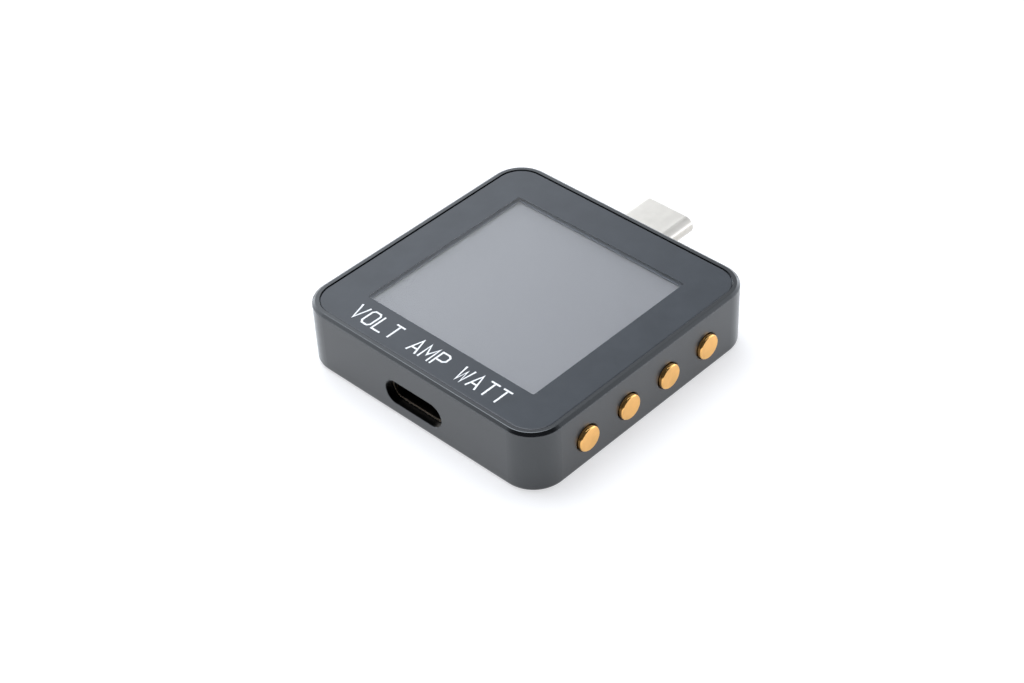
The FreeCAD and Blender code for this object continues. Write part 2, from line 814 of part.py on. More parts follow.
def make_switch_dome(y):
    """The bowed steel spring that clicks and pushes the plunger back."""
    half = plunger_head_width / 2
    outer = [Vector(switch_cavity_back + rise, y + along, plunger_z - plunger_height / 2)
             for rise, along in ((0, -half), (dome_rise, 0), (0, half))]
    inner = [point + X_AXIS * dome_thickness for point in outer]
    edges = [
        Part.Arc(*outer).toShape(),
        Part.LineSegment(outer[2], inner[2]).toShape(),
        Part.Arc(*reversed(inner)).toShape(),
        Part.LineSegment(inner[0], outer[0]).toShape(),
    ]
    return Part.Face(Part.Wire(edges)).extrude(Z_AXIS * plunger_height)


# ---------------------------------------------------------------- USB-C socket
def socket_contact_boxes():
    """The socket's two rows of contacts: a blade on each face of the tongue and a tail up to the board."""
    blades = []
    half = contact_width / 2
    surface = socket_tongue_thickness / 2 + contact_proud
    tip = socket_front + socket_tongue_setback + contact_tip_setback
    for x in contact_places:
        upper = box(x - half, x + half, tip, socket_back + contact_tail,
                    socket_z + surface - contact_thickness, socket_z + surface)
        upper_tail = box(x - half, x + half, socket_back + contact_tail - contact_thickness,
                         socket_back + contact_tail, socket_z + surface - contact_thickness, board_bottom)
        lower = box(x - half, x + half, tip, socket_back + 2 * contact_tail,
                    socket_z - surface, socket_z - surface + contact_thickness)
        lower_tail = box(x - half, x + half, socket_back + 2 * contact_tail - contact_thickness,
                         socket_back + 2 * contact_tail, socket_z - surface, board_bottom)
        blades.append(upper.fuse(upper_tail).removeSplitter())
        blades.append(lower.fuse(lower_tail).removeSplitter())
    return blades


def make_socket_shell():
    """The socket's drawn steel shell with four tabs soldered to the board's underside."""
    shell = capsule(socket_width, socket_height, socket_front, socket_back, socket_z)
    inner, front, back = 2 * socket_wall, socket_front - overcut, socket_back + overcut
    shell = shell.cut(capsule(socket_width - inner, socket_height - inner, front, back, socket_z))
    inside = socket_width / 2 - socket_tab_root
    outside = socket_width / 2 + socket_tab_reach
    low = board_bottom - socket_tab_thickness
    for side in (-1, 1):
        x_near, x_far = sorted((side * inside, side * outside))
        for y in (socket_front + socket_tab_inset, socket_back - socket_tab_length - socket_tab_inset):
            shell = shell.fuse(box(x_near, x_far, y, y + socket_tab_length, low, board_bottom))
    return shell.removeSplitter()


def make_socket_insulator():
    """The socket's moulded tongue and the base block behind it."""
    inner = 2 * (socket_wall + hairline)
    base = capsule(socket_width - inner, socket_height - inner, socket_base_front, socket_back, socket_z)
    half = socket_tongue_width / 2
    tall = socket_tongue_thickness / 2
    tip = socket_front + socket_tongue_setback
    tongue = box(-half, half, tip, socket_base_front + overlap, socket_z - tall, socket_z + tall)
    body = base.fuse(tongue).removeSplitter()
    return body.cut(Part.makeCompound(socket_contact_boxes()))


def make_socket_contacts():
    """The socket's contacts, as one group."""
    return Part.makeCompound(socket_contact_boxes())


# ---------------------------------------------------------------- USB-C plug
def plug_contact_boxes():
    """The plug's two rows of contacts: blades in the mouth and tails that straddle the board's edge."""
    blades = []
    half = contact_width / 2
    reach = plug_tip - plug_insulator_setback - contact_tip_setback
    for x in contact_places:
        for side, surface in ((1, board_top), (-1, board_bottom)):
            level = plug_z + side * plug_mouth_height / 2
            z_near, z_far = level - contact_thickness / 2, level + contact_thickness / 2
            t_near, t_far = sorted((surface, surface + side * contact_thickness))
            blade = box(x - half, x + half, contact_bend, reach, z_near, z_far)
            tail = box(x - half, x + half, plug_back - contact_tail, contact_bend, t_near, t_far)
            low, high = min(z_near, t_near), max(z_far, t_far)
            step = box(x - half, x + half, contact_bend - contact_thickness, contact_bend, low, high)
            blades.append(blade.fuse(tail).fuse(step).removeSplitter())
    return blades


def make_plug_shell():
    """The plug's drawn steel shell with a rounded lip and a solder tab on each side."""
    shell = capsule(plug_width, plug_height, plug_back, plug_tip, plug_z)
    shell = shell.makeFillet(plug_tip_radius, edges_at(shell, "y", plug_tip))
    inner = 2 * plug_wall
    bore_back, bore_front = plug_back - overcut, plug_tip + overcut
    shell = shell.cut(capsule(plug_width - inner, plug_height - inner, bore_back, bore_front, plug_z))
    inside = plug_width / 2 - plug_tab_root
    outside = plug_width / 2 + plug_tab_reach
    for side in (-1, 1):
        x_near, x_far = sorted((side * inside, side * outside))
        y_far = min(plug_back + plug_tab_length, inner_y - fit_gap)
        shell = shell.fuse(box(x_near, x_far, plug_back, y_far, board_top, board_top + plug_tab_thickness))
    return shell.removeSplitter()


def make_plug_insulator():
    """The plug's moulded core, open at the mouth for the mating tongue."""
    inner = 2 * (plug_wall + hairline)
    front = plug_tip - plug_insulator_setback
    core = capsule(plug_width - inner, plug_height - inner, plug_back, front, plug_z)
    half, tall = plug_mouth_width / 2, plug_mouth_height / 2
    core = core.cut(
        box(-half, half, plug_tip - plug_mouth_depth, plug_tip + overcut, plug_z - tall, plug_z + tall)
    )
    return core.cut(Part.makeCompound(plug_contact_boxes() + [make_plug_latch()]))


def make_plug_contacts():
    """The plug's contacts, as one group."""
    return Part.makeCompound(plug_contact_boxes())


def make_plug_latch():
    """The sprung steel latch inside the plug: an arm down each side of the mouth, joined behind it."""
    outside = plug_mouth_width / 2
    tip = plug_tip - plug_insulator_setback - latch_tip_setback
    back = plug_tip - plug_mouth_depth - latch_back_gap
    tall = latch_height / 2
    arms = box(-outside, outside, back, back + latch_thickness, plug_z - tall, plug_z + tall)
    for side in (-1, 1):
        x_near, x_far = sorted((side * outside, side * (outside - latch_thickness)))
        arms = arms.fuse(box(x_near, x_far, back, tip, plug_z - tall, plug_z + tall))
    return arms.removeSplitter()


# ---------------------------------------------------------------- write the parts
makers = {
    "housing": make_housing,
    "bottom_cover": make_bottom_cover,
    "cover_screws": make_cover_screws,
    "insulation_sheet": make_insulation_sheet,
    "cover_glass": make_cover_glass,
    "glass_print": make_glass_print,
    "glass_tape": make_glass_tape,
    "display_tape": make_display_tape,
    "display_polariser": make_display_polariser,
    "lcd_cell": make_lcd_cell,
    "display_driver": make_display_driver,
    "backlight_guide": make_backlight_guide,
    "backlight_reflector": make_backlight_reflector,
    "backlight_leds": make_backlight_leds,
    "display_frame": make_display_frame,
    "display_flex": make_display_flex,
    "display_foam": make_display_foam,
    "main_board": make_main_board,
    "board_screws": make_board_screws,
    "flex_connector": make_flex_connector,
    "controller_chip": make_controller_chip,
    "meter_chip": make_meter_chip,
    "protocol_chip": make_protocol_chip,
    "memory_chip": make_memory_chip,
    "shunt_resistor": make_shunt_resistor,
    "crystal": make_crystal,
    "inductor": make_inductor,
    "regulator": make_regulator,
    "capacitors": make_capacitors,
    "resistors": make_resistors,
    "switch_bodies": make_switch_bodies,
    "switch_covers": make_switch_covers,
    "socket_shell": make_socket_shell,
    "socket_insulator": make_socket_insulator,
    "socket_contacts": make_socket_contacts,
    "plug_shell": make_plug_shell,
    "plug_insulator": make_plug_insulator,
    "plug_contacts": make_plug_contacts,
    "plug_latch": make_plug_latch,
}


def main():
    os.makedirs("parts", exist_ok=True)
    shapes = {name: make() for name, make in makers.items()}
    for n, y in enumerate(button_places, start=1):
        shapes[f"button_cap_{n}"] = make_button_cap(y)
        shapes[f"switch_plunger_{n}"] = make_switch_plunger(y)
        shapes[f"switch_dome_{n}"] = make_switch_dome(y)
    for name, shape in shapes.items():
        if not shape.isValid() or not shape.Solids:
            print("NOT VALID:", name)
        shape.exportStep(os.path.join("parts", name + ".step"))
        print(f"{name:22s} solids {len(shape.Solids):3d}  volume {shape.Volume:9.2f} mm3")


main()
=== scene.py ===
import math

import bmesh
import bpy
import numpy as np
from mathutils import Matrix, Vector


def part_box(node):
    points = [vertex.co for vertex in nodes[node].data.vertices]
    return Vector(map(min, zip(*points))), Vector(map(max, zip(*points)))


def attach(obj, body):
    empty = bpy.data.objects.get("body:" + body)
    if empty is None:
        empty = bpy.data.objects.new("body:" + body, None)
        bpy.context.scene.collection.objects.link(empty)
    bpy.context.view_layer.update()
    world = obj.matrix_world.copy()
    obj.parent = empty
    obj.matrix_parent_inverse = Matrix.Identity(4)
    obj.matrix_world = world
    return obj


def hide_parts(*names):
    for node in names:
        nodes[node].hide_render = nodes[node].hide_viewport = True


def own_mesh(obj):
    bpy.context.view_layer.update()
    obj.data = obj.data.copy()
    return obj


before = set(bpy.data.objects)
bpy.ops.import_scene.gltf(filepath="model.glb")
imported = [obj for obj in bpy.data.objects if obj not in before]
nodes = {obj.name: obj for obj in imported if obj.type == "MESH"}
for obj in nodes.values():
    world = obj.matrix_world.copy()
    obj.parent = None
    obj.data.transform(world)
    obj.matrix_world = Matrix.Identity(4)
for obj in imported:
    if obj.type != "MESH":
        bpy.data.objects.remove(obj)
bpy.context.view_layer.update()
MM = 0.001

# ---------------------------------------------------------------- case
# One block of aluminium, milled out, bead blasted and anodised near black. The slope round its top edge
# is cut again after blasting, so it is smoother than the walls, and its colour is painted darker there as
# shade, so that it reads as a dark line. Inside the socket's opening the case is painted black as shade.

CASE_BLACK = (0.008, 0.0095, 0.012)
CASE_ROUGHNESS = 0.32
CASE_GLOSS_SPREAD = 0.04
CASE_GRAIN_DEPTH = 3e-6
CASE_IOR = 1.75
CASE_SHEEN = 0.6
CASE_SHEEN_ROUGHNESS = 0.3
CASE_TINT = (0.93, 0.97, 1, 1)
RIM_ROUGHNESS = 0.14
# How much darker the slope's colour is painted: painted shade.
RIM_PAINTED_SHADE = 0.35
RIM_SLOPE_RISE = 0.36 * MM
SOCKET_TAB_REACH = 1.4 * MM
SOCKET_HEIGHT = 3.16 * MM
PORT_MARGIN = 0.25 * MM
PORT_SETBACK = 0.05 * MM
PORT_DEPTH = 1.0 * MM
FINISH_AND_SHADE_EDGE = 0.02 * MM
# Painted shade inside the socket's opening.
MOUTH_PAINTED_SHADE = (0.006, 0.006, 0.006)


def new_finish(name, colour, roughness, metallic=0.0):
    """A material with one plain shader: returns the material, its nodes, its links and the shader."""
    material = bpy.data.materials.new(name)
    material.use_nodes = True
    tree = material.node_tree
    shader = tree.nodes["Principled BSDF"]
    shader.inputs["Base Color"].default_value = (*colour, 1)
    shader.inputs["Roughness"].default_value = roughness
    shader.inputs["Metallic"].default_value = metallic
    return material, tree.nodes, tree.links, shader


def object_place(inside, links, stretch=(1, 1, 1)):
    """Object coordinates, made finer by stretch along each axis."""
    place = inside.new("ShaderNodeTexCoord")
    mapping = inside.new("ShaderNodeMapping")
    mapping.inputs["Scale"].default_value = stretch
    links.new(place.outputs["Object"], mapping.inputs["Vector"])
    return mapping.outputs["Vector"]


def noise_at(inside, links, scale, detail=2.0, stretch=(1, 1, 1)):
    """Noise in object coordinates, about 1/scale metres from one lump to the next."""
    noise = inside.new("ShaderNodeTexNoise")
    noise.inputs["Scale"].default_value = scale
    noise.inputs["Detail"].default_value = detail
    links.new(object_place(inside, links, stretch), noise.inputs["Vector"])
    return noise.outputs["Fac"]


def number_between(inside, links, source, low, high, start=0.3, end=0.7):
    """A number that goes from low to high as source goes from start to end."""
    spread = inside.new("ShaderNodeMapRange")
    spread.inputs["From Min"].default_value = start
    spread.inputs["From Max"].default_value = end
    spread.inputs["To Min"].default_value = low
    spread.inputs["To Max"].default_value = high
    links.new(source, spread.inputs["Value"])
    return spread.outputs["Result"]


def tint_between(inside, links, source, first, second, start=0.3, end=0.7):
    """A colour that goes from first to second as source goes from start to end."""
    ramp = inside.new("ShaderNodeValToRGB")
    ramp.color_ramp.elements[0].position = start
    ramp.color_ramp.elements[0].color = (*first, 1)
    ramp.color_ramp.elements[1].position = end
    ramp.color_ramp.elements[1].color = (*second, 1)
    links.new(source, ramp.inputs["Fac"])
    return ramp.outputs["Color"]


def roughen(inside, links, shader, source, depth, strength=0.5):
    """A bump from source, depth metres deep."""
    bump = inside.new("ShaderNodeBump")
    bump.inputs["Strength"].default_value = strength
    bump.inputs["Distance"].default_value = depth
    links.new(source, bump.inputs["Height"])
    links.new(bump.outputs["Normal"], shader.inputs["Normal"])


def shade(colour, factor):
    """The colour made lighter or darker by factor."""
    return tuple(min(channel * factor, 1.0) for channel in colour)


def above(inside, links, axis, level, softness):
    """1 where the object coordinate of that axis is over level and 0 under it, with a soft step."""
    place = inside.new("ShaderNodeTexCoord")
    split = inside.new("ShaderNodeSeparateXYZ")
    links.new(place.outputs["Object"], split.inputs["Vector"])
    return number_between(inside, links, split.outputs[axis], 0, 1, level - softness, level + softness)


def mixed_number(inside, links, factor, low, high):
    """low where factor is 0 and high where it is 1; low and high are numbers or sockets."""
    mix = inside.new("ShaderNodeMix")
    links.new(factor, mix.inputs["Factor"])
    for socket, value in (("A", low), ("B", high)):
        if isinstance(value, (int, float)):
            mix.inputs[socket].default_value = value
        else:
            links.new(value, mix.inputs[socket])
    return mix.outputs["Result"]


def mixed_colour(inside, links, factor, low, high):
    """The colour low where factor is 0 and high where it is 1; each is a colour or a socket. A Mix node's
    colour sockets share their names with its number sockets, so they are found by their type."""
    mix = inside.new("ShaderNodeMix")
    mix.data_type = "RGBA"
    links.new(factor, mix.inputs["Factor"])
    sockets = [socket for socket in mix.inputs if socket.type == "RGBA"]
    for socket, value in zip(sockets, (low, high)):
        if isinstance(value, tuple):
            socket.default_value = (*value, 1)
        else:
            links.new(value, socket)
    return next(socket for socket in mix.outputs if socket.type == "RGBA")


def within(inside, links, low, high, softness):
    """1 inside the box between two corners, in object coordinates, and 0 outside it, with a soft step."""
    place = inside.new("ShaderNodeTexCoord")
    point = place.outputs["Object"]
    centre, half = (low + high) / 2, (high - low) / 2
    for operation, value in (("SUBTRACT", centre), ("ABSOLUTE", None), ("SUBTRACT", half)):
        step = inside.new("ShaderNodeVectorMath")
        step.operation = operation
        links.new(point, step.inputs[0])
        if value is not None:
            step.inputs[1].default_value = value
        point = step.outputs["Vector"]
    split = inside.new("ShaderNodeSeparateXYZ")
    links.new(point, split.inputs["Vector"])
    largest = split.outputs["X"]
    for axis in ("Y", "Z"):
        step = inside.new("ShaderNodeMath")
        step.operation = "MAXIMUM"
        links.new(largest, step.inputs[0])
        links.new(split.outputs[axis], step.inputs[1])
        largest = step.outputs["Value"]
    return number_between(inside, links, largest, 1, 0, -softness, softness)


def port_room():
    """Two corners of the room behind the case's front face where the socket's opening is cut, where the case
    is painted black as shade.
    """
    low, high = map(Vector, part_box("socket_shell"))
    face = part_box("housing")[0][1]
    margin = Vector((PORT_MARGIN, 0, PORT_MARGIN))
    start = Vector((low.x + SOCKET_TAB_REACH, face + PORT_SETBACK, low.z)) - margin
    end = Vector((high.x - SOCKET_TAB_REACH, low.y + PORT_DEPTH, low.z + SOCKET_HEIGHT)) + margin
    return start, end


def anodised_case():
    """Blasted wall with a fine grain and a slow drift of tone, and the smoother slope above the wall, whose
    colour is painted darker as shade; inside the socket's opening the case is painted black as shade.
    """
    material, inside, links, shader = new_finish("anodised_case", CASE_BLACK, CASE_ROUGHNESS)
    shader.inputs["IOR"].default_value = CASE_IOR
    shader.inputs["Sheen Weight"].default_value = CASE_SHEEN
    shader.inputs["Sheen Roughness"].default_value = CASE_SHEEN_ROUGHNESS
    shader.inputs["Sheen Tint"].default_value = CASE_TINT
    shader.inputs["Specular Tint"].default_value = CASE_TINT
    slow = noise_at(inside, links, 120, detail=4)
    fine = noise_at(inside, links, 12000)
    tint = tint_between(inside, links, slow, shade(CASE_BLACK, 0.9), shade(CASE_BLACK, 1.1))
    glossier, duller = CASE_ROUGHNESS - CASE_GLOSS_SPREAD, CASE_ROUGHNESS + CASE_GLOSS_SPREAD
    blasted = number_between(inside, links, fine, glossier, duller)
    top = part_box("housing")[1][2]
    rim = above(inside, links, "Z", top - RIM_SLOPE_RISE, FINISH_AND_SHADE_EDGE)
    # The slope's colour is painted darker: painted shade, so that it reads as a dark line.
    slope = mixed_colour(inside, links, rim, tint, shade(CASE_BLACK, RIM_PAINTED_SHADE))
    # Inside the socket's opening the case is painted black, as metal with no gloss of its own: painted shade
    # in the recess.
    mouth = within(inside, links, *port_room(), FINISH_AND_SHADE_EDGE)
    links.new(mixed_colour(inside, links, mouth, slope, MOUTH_PAINTED_SHADE), shader.inputs["Base Color"])
    links.new(mouth, shader.inputs["Metallic"])
    links.new(mixed_number(inside, links, rim, blasted, RIM_ROUGHNESS), shader.inputs["Roughness"])
    roughen(inside, links, shader, fine, CASE_GRAIN_DEPTH)
    return material


def dress(name, material):
    """Gives a CAD node its material."""
    piece = nodes[name]
    piece.data.materials.clear()
    piece.data.materials.append(material)


dress("housing", anodised_case())

# ---------------------------------------------------------------- bottom cover and its screws
# A flat plate of the same anodised aluminium, brushed along its length, held by four small countersunk
# screws of blackened steel.

COVER_GREY = (0.03, 0.032, 0.036)
SCREW_BLACK = (0.05, 0.05, 0.052)


def brushed(name, colour, roughness, metallic, stretch, depth, grain=2500, spread=0.08):
    """Metal drawn or brushed one way: noise stretched into lines, in gloss, tone and bump."""
    material, inside, links, shader = new_finish(name, colour, roughness, metallic)
    lines = noise_at(inside, links, grain, detail=3, stretch=stretch)
    tint = tint_between(inside, links, lines, shade(colour, 0.88), shade(colour, 1.1))
    links.new(tint, shader.inputs["Base Color"])
    gloss = number_between(inside, links, lines, roughness - spread, roughness + spread)
    links.new(gloss, shader.inputs["Roughness"])
    roughen(inside, links, shader, lines, depth)
    return material


cover_finish = brushed(
    "brushed_cover", COVER_GREY, 0.36, metallic=0.0, stretch=(1, 0.03, 1), depth=1e-6, grain=5000, spread=0.04
)
dress("bottom_cover", cover_finish)
screw_finish = brushed(
    "blackened_steel", SCREW_BLACK, 0.34, metallic=0.9, stretch=(1, 1, 0.2), depth=2e-6, grain=4000
)
dress("cover_screws", screw_finish)
dress("board_screws", screw_finish)

# ---------------------------------------------------------------- front glass
# A sheet of hardened glass with polished bevelled edges, let into the case with a fine gap all round. Its
# back is screened black outside the display, so it is clear in the middle and a black gloss round it.

GLASS_CORNER = 3.35 * MM
GLASS_BEVEL_RUN = 0.14 * MM
GLASS_BEVEL_DROP = 0.07 * MM
GLASS_EASE = 0.02 * MM
WINDOW_WIDTH = 26.2 * MM
WINDOW_LENGTH = 25.55 * MM
CLEAR_MARGIN = 0.32 * MM
CLEAR_CORNER = 0.3 * MM
CLEAR_SPREAD = 0.7 * MM
CORNER_STEPS = 24
MERGE_DISTANCE = 1e-8
GLASS_IOR = 1.5
WAVES_PER_METRE = 60
WAVE_DEPTH = 1e-6
WAVE_STRENGTH = 0.15
INK_BLACK = (0.039, 0.045, 0.053)


def rounded_loop(half, radius, inset=0.0):
    """Points of a rounded rectangle taken in by inset: four arcs of radius - inset round the same centres."""
    quarter = np.linspace(0, math.pi / 2, CORNER_STEPS)
    turn = np.concatenate([quarter + n * math.pi / 2 for n in range(4)])
    side = np.repeat([[1, 1], [-1, 1], [-1, -1], [1, -1]], CORNER_STEPS, axis=0)
    outwards = np.column_stack([np.cos(turn), np.sin(turn)])
    return side * (np.array(half) - radius) + (radius - inset) * outwards


def mesh_piece(name, points, faces, materials, body="case", slots=None):
    """A smooth-shaded mesh at the origin that rides on a body; slots gives each face its material."""
    mesh = bpy.data.meshes.new(name)
    mesh.from_pydata(points.tolist(), [], faces)
    if slots is not None:
        mesh.polygons.foreach_set("material_index", slots)
    work = bmesh.new()
    work.from_mesh(mesh)
    bmesh.ops.remove_doubles(work, verts=work.verts, dist=MERGE_DISTANCE)
    bmesh.ops.recalc_face_normals(work, faces=work.faces)
    work.to_mesh(mesh)
    work.free()
    mesh.shade_smooth()
    for material in materials:
        mesh.materials.append(material)
    piece = bpy.data.objects.new(name, mesh)
    bpy.context.scene.collection.objects.link(piece)
    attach(piece, body)
    return piece


def loops_to_solid(loops):
    """Points and faces of a closed solid from rings of equal length, stacked from the first to the last,
    with a flat face across the first and the last ring."""
    rings, count = len(loops), len(loops[0])
    ring, step = np.meshgrid(np.arange(rings - 1), np.arange(count), indexing="ij")
    here, there, after = ring * count, (ring + 1) * count, (step + 1) % count
    corners = np.stack([here + step, here + after, there + after, there + step], axis=-1)
    faces = corners.reshape(-1, 4).tolist()
    faces.append(list(range(count))[::-1])
    faces.append(list(range((rings - 1) * count, rings * count)))
    return np.concatenate(loops), faces


def corners_of(name):
    """The lowest and highest corner of a CAD node, as arrays."""
    low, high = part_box(name)
    return np.array(low), np.array(high)


def glass_plate(low, high, clear):
    """The glass between two corners. Its rings run from the clear rectangle on its back out to the edge, up
    over a bevel whose edges are eased, and in to the clear rectangle on its front. The one on the back is
    wider, by as far as light slants through the glass, so that its edge never shows."""
    centre, half = (low + high)[:2] / 2, (high - low)[:2] / 2
    bottom, top, ease = low[2], high[2], GLASS_EASE
    shoulder = top - GLASS_BEVEL_DROP
    profile = [
        (4 * ease, bottom), (ease, bottom), (0.3 * ease, bottom + 0.3 * ease), (0, bottom + ease),
        (0, bottom + 3 * ease), (0, shoulder - 2 * ease), (0, shoulder - ease / 2),
        (ease / 2, shoulder + ease / 2), (GLASS_BEVEL_RUN - ease, top - ease / 2),
        (GLASS_BEVEL_RUN, top - 0.1 * ease), (GLASS_BEVEL_RUN + ease, top), (GLASS_BEVEL_RUN + 4 * ease, top),
    ]
    flats = [(rounded_loop(half, GLASS_CORNER, inset), height) for inset, height in profile]
    behind = rounded_loop(clear, CLEAR_CORNER, -CLEAR_SPREAD)
    flats = [(behind, bottom), *flats, (rounded_loop(clear, CLEAR_CORNER), top)]
    return loops_to_solid([np.column_stack([flat + centre, np.full(len(flat), z)]) for flat, z in flats])


def polished(inside, links, shader):
    """Gives glass its gloss, and the long shallow waves that polishing leaves."""
    shader.inputs["IOR"].default_value = GLASS_IOR
    roughen(inside, links, shader, noise_at(inside, links, WAVES_PER_METRE), WAVE_DEPTH, WAVE_STRENGTH)


def clear_glass():
    """Clear polished glass, which lets lamplight and the light off walls through to what is behind it."""
    material, inside, links, shader = new_finish("clear_glass", (0.985, 0.99, 0.99), 0.0)
    shader.inputs["Transmission Weight"].default_value = 1.0
    polished(inside, links, shader)
    rays, either, through, pane = (
        inside.new("ShaderNode" + kind) for kind in ("LightPath", "Math", "BsdfTransparent", "MixShader")
    )
    either.operation = "MAXIMUM"
    links.new(rays.outputs["Is Shadow Ray"], either.inputs[0])
    links.new(rays.outputs["Is Diffuse Ray"], either.inputs[1])
    links.new(either.outputs["Value"], pane.inputs[0])
    links.new(shader.outputs["BSDF"], pane.inputs[1])
    links.new(through.outputs["BSDF"], pane.inputs[2])
    links.new(pane.outputs["Shader"], inside["Material Output"].inputs["Surface"])
    return material


def inked_glass():
    """The same glass where its back is inked: a black gloss with faint waviness and wiping marks."""
    material, inside, links, shader = new_finish("inked_glass", INK_BLACK, 0.03)
    cloud = noise_at(inside, links, 300, detail=3)
    tint = tint_between(inside, links, cloud, shade(INK_BLACK, 0.92), shade(INK_BLACK, 1.08))
    links.new(tint, shader.inputs["Base Color"])
    wiped = noise_at(inside, links, 250, detail=4, stretch=(1, 0.2, 1))
    links.new(number_between(inside, links, wiped, 0.02, 0.07), shader.inputs["Roughness"])
    polished(inside, links, shader)
    return material


glass_low, glass_high = corners_of("cover_glass")
clear_half = (WINDOW_WIDTH / 2 + CLEAR_MARGIN, WINDOW_LENGTH / 2 + CLEAR_MARGIN)
points, faces = glass_plate(glass_low, glass_high, clear_half)
slots = [1] * (len(faces) - 2) + [0, 0]
front_glass = mesh_piece("front_glass", points, faces, [clear_glass(), inked_glass()], slots=slots)
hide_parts("cover_glass")

# ---------------------------------------------------------------- printed border and unit words
# Black ink screened on the back of the glass, with a clear window for the display. The names of the three
# units it reads are printed in white on the front, along the socket end, in plain single-stroke capitals.
# Through the clear glass the border shows as a thin line in the shade, so the print's ink is painted lighter,
# as light to make up for that shade.

WHITE_INK = (0.85, 0.86, 0.87)
WORDS = "VOLT AMP WATT"
WORDS_START = Vector((-12.7, -16.9)) * MM
WORDS_LENGTH = 24.3 * MM
LETTER_HEIGHT = 2.4 * MM
LETTER_WIDTH = 0.72
STROKE_WIDTH = 0.25 * MM
STROKE_THICKNESS = 0.004 * MM
STROKE_CLEARANCE = 0.002 * MM
SHARPEST_MITRE = 0.45
# How much lighter the print's ink is painted, as light to make up for the shade it lies in.
PAINTED_LIGHT_ON_INK = 2.9
LETTERS = {
    "V": [[(0, 1), (0.5, 0), (1, 1)]],
    "O": [[
        (0.5, 1), (0.8, 1), (1, 0.85), (1, 0.15), (0.8, 0),
        (0.2, 0), (0, 0.15), (0, 0.85), (0.2, 1), (0.5, 1),
    ]],
    "L": [[(0, 1), (0, 0), (1, 0)]],
    "T": [[(0, 1), (1, 1)], [(0.5, 0.93), (0.5, 0)]],
    "A": [[(0, 0), (0.5, 1), (1, 0)], [(0.24, 0.32), (0.76, 0.32)]],
    "M": [[(0, 0), (0, 1), (0.5, 0.35), (1, 1), (1, 0)]],
    "P": [[(0, 0), (0, 1), (0.75, 1), (1, 0.88), (1, 0.57), (0.75, 0.45), (0.09, 0.45)]],
    "W": [[(0, 1), (0.25, 0), (0.5, 0.75), (0.75, 0), (1, 1)]],
}


def printed_ink(name, colour):
    """Screened ink: an even matt film with a slight drift of density."""
    material, inside, links, shader = new_finish(name, colour, 0.6)
    shader.inputs["Specular IOR Level"].default_value = 0.1
    cloud = noise_at(inside, links, 400, detail=3)
    tint = tint_between(inside, links, cloud, shade(colour, 0.94), shade(colour, 1.06))
    links.new(tint, shader.inputs["Base Color"])
    return material


def stroke(path, low, high):
    """A flat stroke along a path of points: at each point the two sides stand off along the mitre of its
    two directions, and the strip runs from height low to height high."""
    ahead = np.diff(path, axis=0)
    ahead /= np.linalg.norm(ahead, axis=1, keepdims=True)
    arriving, leaving = np.vstack([ahead[:1], ahead]), np.vstack([ahead, ahead[-1:]])
    if np.allclose(path[0], path[-1]):
        arriving[0], leaving[-1] = ahead[-1], ahead[0]
    mitre = np.column_stack([-(arriving + leaving)[:, 1], (arriving + leaving)[:, 0]])
    mitre /= np.linalg.norm(mitre, axis=1, keepdims=True)
    square = np.abs(mitre[:, 1] * arriving[:, 0] - mitre[:, 0] * arriving[:, 1])
    mitre *= (STROKE_WIDTH / 2 / np.maximum(square, SHARPEST_MITRE))[:, None]
    sides = zip(path + mitre, path - mitre)
    return loops_to_solid([np.array([[*a, low], [*b, low], [*b, high], [*a, high]]) for a, b in sides])


letter_pitch = WORDS_LENGTH / (len(WORDS) - 1 + LETTER_WIDTH)
stroke_low = glass_high[2] + STROKE_CLEARANCE
all_points, all_faces, start = [], [], 0
for place, letter in enumerate(WORDS):
    for path in LETTERS.get(letter, []):
        path = np.array(path, dtype=float)
        path[:, 0] = WORDS_START.x + letter_pitch * (place + LETTER_WIDTH * path[:, 0])
        path[:, 1] = WORDS_START.y + LETTER_HEIGHT * path[:, 1]
        points, faces = stroke(path, stroke_low, stroke_low + STROKE_THICKNESS)
        all_points.append(points)
        all_faces += [[start + n for n in face] for face in faces]
        start += len(points)
white_ink = printed_ink("white_ink", WHITE_INK)
unit_words = mesh_piece("unit_words", np.concatenate(all_points), all_faces, [white_ink])
unit_words.data.shade_flat()
# The print's ink is painted lighter than the black: painted light against its shade.
dress("glass_print", printed_ink("black_ink_painted_lighter", shade(INK_BLACK, PAINTED_LIGHT_ON_INK)))

# ---------------------------------------------------------------- display
# A bonded glass cell in a white moulded tray, with a grey polarising film in front, a light guide, a white
# film and four diodes behind, stuck to the glass with black adhesive and pressed up by a foam pad.

POLARISER_GREY = (0.172, 0.174, 0.187)
TAPE_BLACK = (0.02, 0.02, 0.02)
FOAM_BLACK = (0.03, 0.03, 0.032)
FILM_GLOSS_SPREAD = 0.04


def film(name, colour, roughness, drift=0.05, grain=0.0):
    """A smooth plastic film with a slow drift of tone, and a fine grain if it has one."""
    material, inside, links, shader = new_finish(name, colour, roughness)
    cloud = noise_at(inside, links, 80, detail=2)
    tint = tint_between(inside, links, cloud, shade(colour, 1 - drift), shade(colour, 1 + drift))
    links.new(tint, shader.inputs["Base Color"])
    fine = noise_at(inside, links, 5000)
    gloss = number_between(inside, links, fine, roughness - FILM_GLOSS_SPREAD, roughness + FILM_GLOSS_SPREAD)
    links.new(gloss, shader.inputs["Roughness"])
    if grain:
        roughen(inside, links, shader, fine, grain)
    return material


